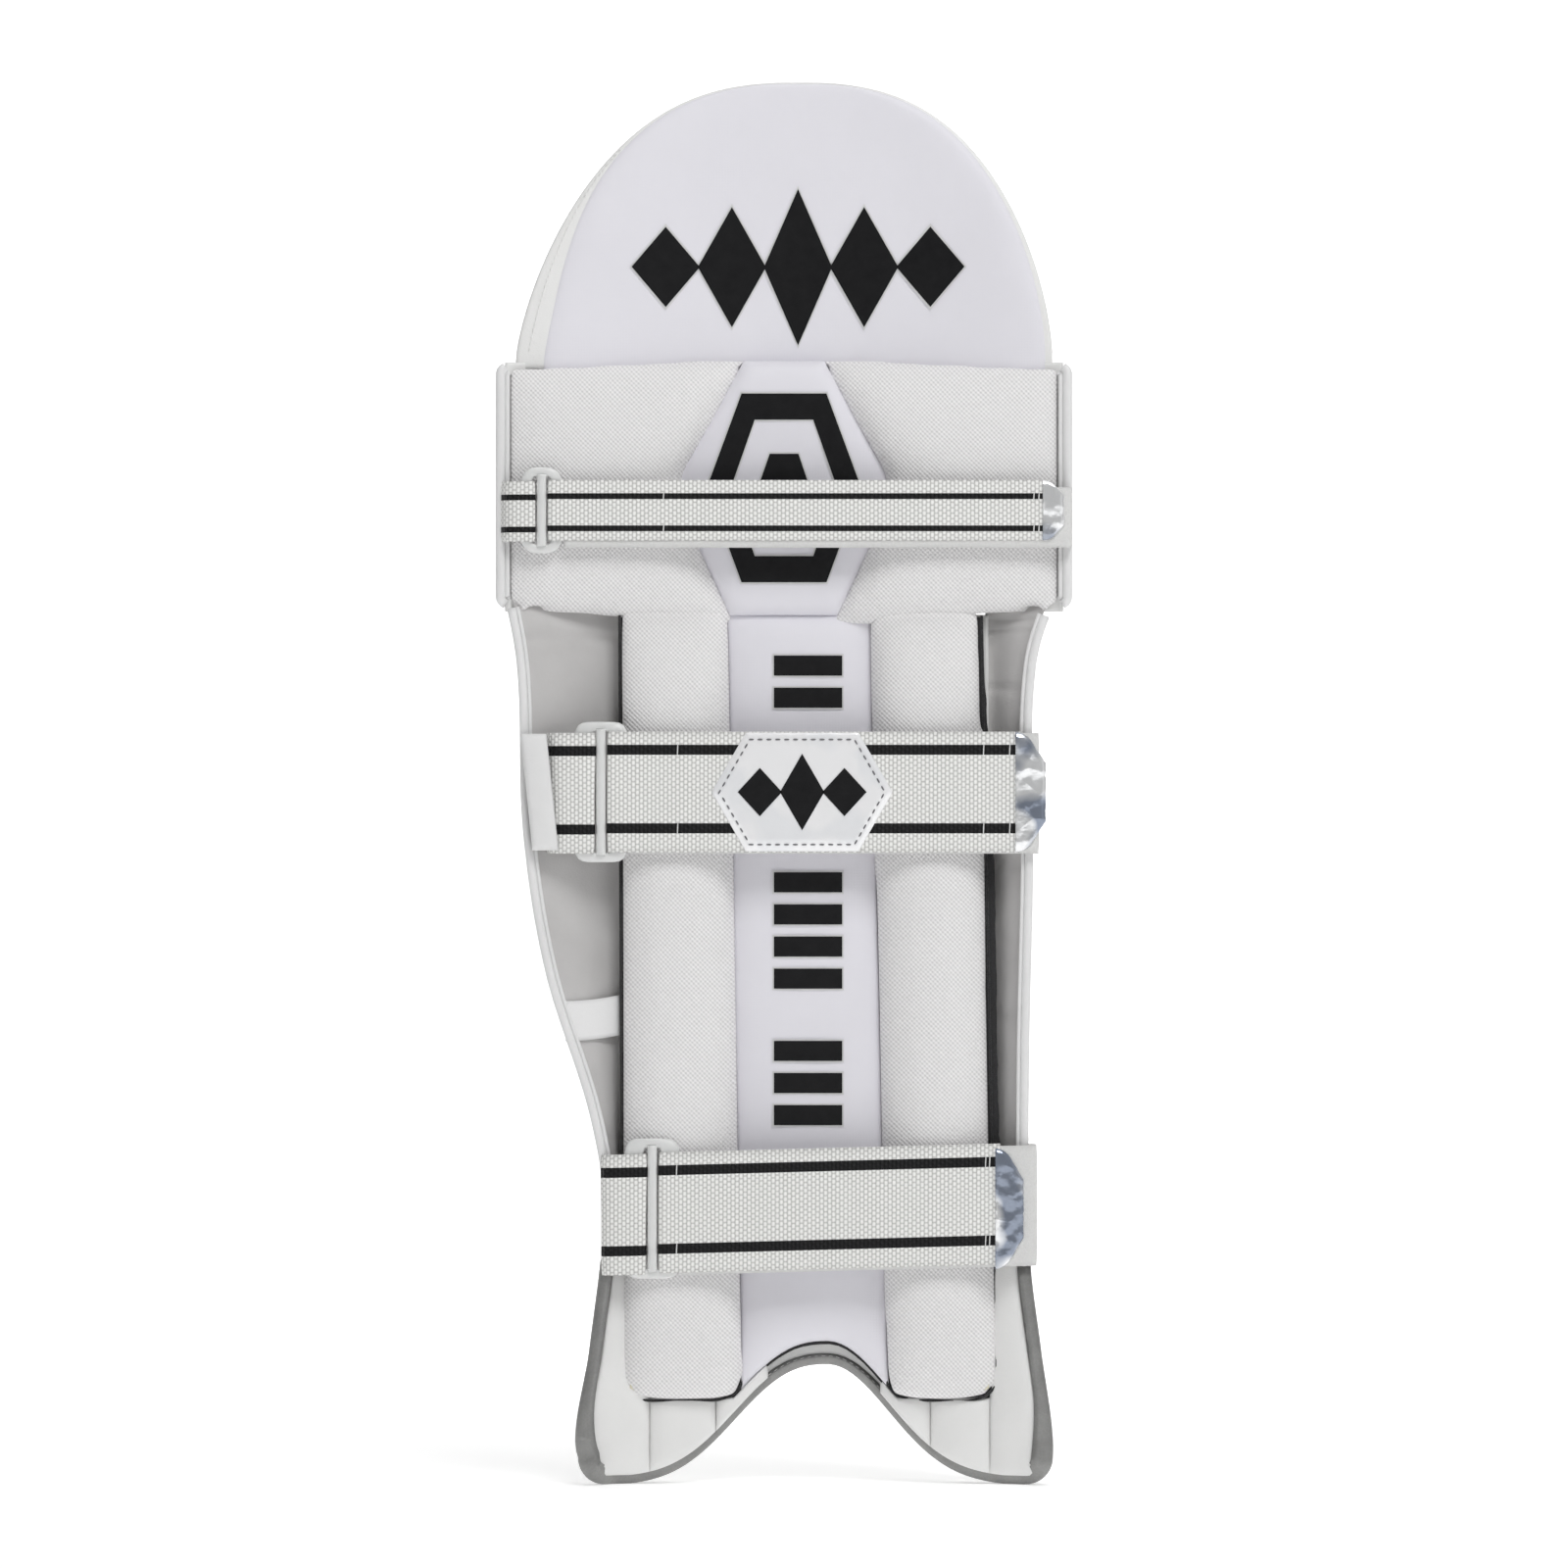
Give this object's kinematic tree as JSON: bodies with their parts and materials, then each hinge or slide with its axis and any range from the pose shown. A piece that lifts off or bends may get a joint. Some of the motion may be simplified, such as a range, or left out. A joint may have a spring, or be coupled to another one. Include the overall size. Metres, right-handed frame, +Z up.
{
  "type": "cricket leg pad",
  "caption": "Cricket batting leg pad with a domed top hat, knee rolls, cane channels, padded leg side and webbing straps with ring buckles.",
  "frame": {"origin": "middle of the bounding box, at the height of the toes", "axes": "+Z up the leg, -Y towards the wearer's leg, +Y towards the ball, +X across the pad"},
  "size_m": [0.287, 0.11, 0.7],
  "materials": {
    "white_pu": "smooth white coated cloth",
    "piping": "stitched edge piping",
    "smooth_lining": "satin",
    "mesh_fabric": "ribbed mesh",
    "black_backing": "matte",
    "silver_binding": "metallic",
    "webbing": "woven",
    "clear_plastic": "translucent",
    "foil": "polished foil",
    "hook_tape": "matte",
    "label_cloth": "satin",
    "foam": "open cell",
    "cane": "raw"
  },
  "bodies": {
    "pad": {"shin_face_panel": "white_pu", "cane_channel_1": "white_pu", "cane_channel_2": "white_pu", "cane_channel_3": "white_pu", "cane_channel_4": "white_pu", "cane_channel_5": "white_pu", "cane_channel_6": "white_pu", "cane_channel_7": "white_pu", "cane_rods": "cane", "shin_foam": "foam", "shin_lining": "smooth_lining", "outer_wing": "white_pu", "inner_wing": "white_pu", "outer_wing_piping": "piping", "inner_wing_piping": "piping", "instep_cells": "white_pu", "instep_binding": "silver_binding", "knee_face_panel": "white_pu", "knee_foam": "foam", "knee_roll_1": "white_pu", "knee_roll_2": "white_pu", "knee_roll_3": "white_pu", "knee_roll_cores": "foam", "left_knee_wing": "mesh_fabric", "right_knee_wing": "mesh_fabric", "knee_patch": "smooth_lining", "left_shin_bolster": "mesh_fabric", "right_shin_bolster": "mesh_fabric", "bolster_cores": "foam", "centre_shin_panel": "smooth_lining", "bolster_backing": "black_backing", "size_label": "label_cloth", "knee_buckle_loop": "webbing", "knee_strap_anchor": "webbing", "calf_buckle_loop": "webbing", "calf_anchor_tab": "white_pu", "calf_strap_anchor": "webbing", "ankle_buckle_loop": "webbing", "ankle_strap_anchor": "webbing"},
    "top_hat": {"top_hat_face": "white_pu", "top_hat_foam": "foam", "top_hat_lining": "smooth_lining", "top_hat_channels": "white_pu", "top_hat_piping": "piping"},
    "knee_strap": {"knee_strap": "webbing"},
    "knee_flap": {"knee_flap": "webbing", "knee_hook_patch": "hook_tape", "knee_strap_tip": "foil"},
    "knee_buckle": {"knee_buckle": "clear_plastic"},
    "calf_strap": {"calf_strap": "webbing"},
    "calf_flap": {"calf_flap": "webbing", "calf_hook_patch": "hook_tape", "calf_strap_tip": "foil", "calf_badge": "foil"},
    "calf_buckle": {"calf_buckle": "clear_plastic"},
    "ankle_strap": {"ankle_strap": "webbing"},
    "ankle_flap": {"ankle_flap": "webbing", "ankle_hook_patch": "hook_tape", "ankle_strap_tip": "foil"},
    "ankle_buckle": {"ankle_buckle": "clear_plastic"}
  },
  "joints": [
    {"name": "top_hat_flex", "type": "hinge", "parent": "pad", "child": "top_hat", "pos_m": [0, -0.022, 0.56], "axis": [1, 0, 0], "range_deg": [-8, 8], "stiffness_Nm_per_rad": 6},
    {"name": "knee_strap_swing", "type": "hinge", "parent": "pad", "child": "knee_strap", "pos_m": [0.1415, -0.0506, 0.485], "axis": [0, 0, 1], "range_deg": [0, 90]},
    {"name": "knee_flap_peel", "type": "hinge", "parent": "knee_strap", "child": "knee_flap", "pos_m": [-0.1027, -0.0536, 0.485], "axis": [0, 0, -1], "range_deg": [0, 160]},
    {"name": "knee_buckle_tilt", "type": "hinge", "parent": "pad", "child": "knee_buckle", "pos_m": [-0.1295, -0.0501, 0.485], "axis": [0, 0, -1], "range_deg": [0, 45]},
    {"name": "calf_strap_swing", "type": "hinge", "parent": "pad", "child": "calf_strap", "pos_m": [0.125, -0.0506, 0.345], "axis": [0, 0, 1], "range_deg": [0, 90]},
    {"name": "calf_flap_peel", "type": "hinge", "parent": "calf_strap", "child": "calf_flap", "pos_m": [-0.0707, -0.0536, 0.345], "axis": [0, 0, -1], "range_deg": [0, 160]},
    {"name": "calf_buckle_tilt", "type": "hinge", "parent": "pad", "child": "calf_buckle", "pos_m": [-0.1025, -0.0501, 0.345], "axis": [0, 0, -1], "range_deg": [0, 45]},
    {"name": "ankle_strap_swing", "type": "hinge", "parent": "pad", "child": "ankle_strap", "pos_m": [0.124, -0.0506, 0.138], "axis": [0, 0, 1], "range_deg": [0, 90]},
    {"name": "ankle_flap_peel", "type": "hinge", "parent": "ankle_strap", "child": "ankle_flap", "pos_m": [-0.0447, -0.0536, 0.138], "axis": [0, 0, -1], "range_deg": [0, 160]},
    {"name": "ankle_buckle_tilt", "type": "hinge", "parent": "pad", "child": "ankle_buckle", "pos_m": [-0.0775, -0.0501, 0.138], "axis": [0, 0, -1], "range_deg": [0, 45]}
  ],
  "couplings": [
    {"joint": "knee_buckle_tilt", "follows": "knee_strap_swing", "ratio": 0.5},
    {"joint": "calf_buckle_tilt", "follows": "calf_strap_swing", "ratio": 0.5},
    {"joint": "ankle_buckle_tilt", "follows": "ankle_strap_swing", "ratio": 0.5}
  ]
}
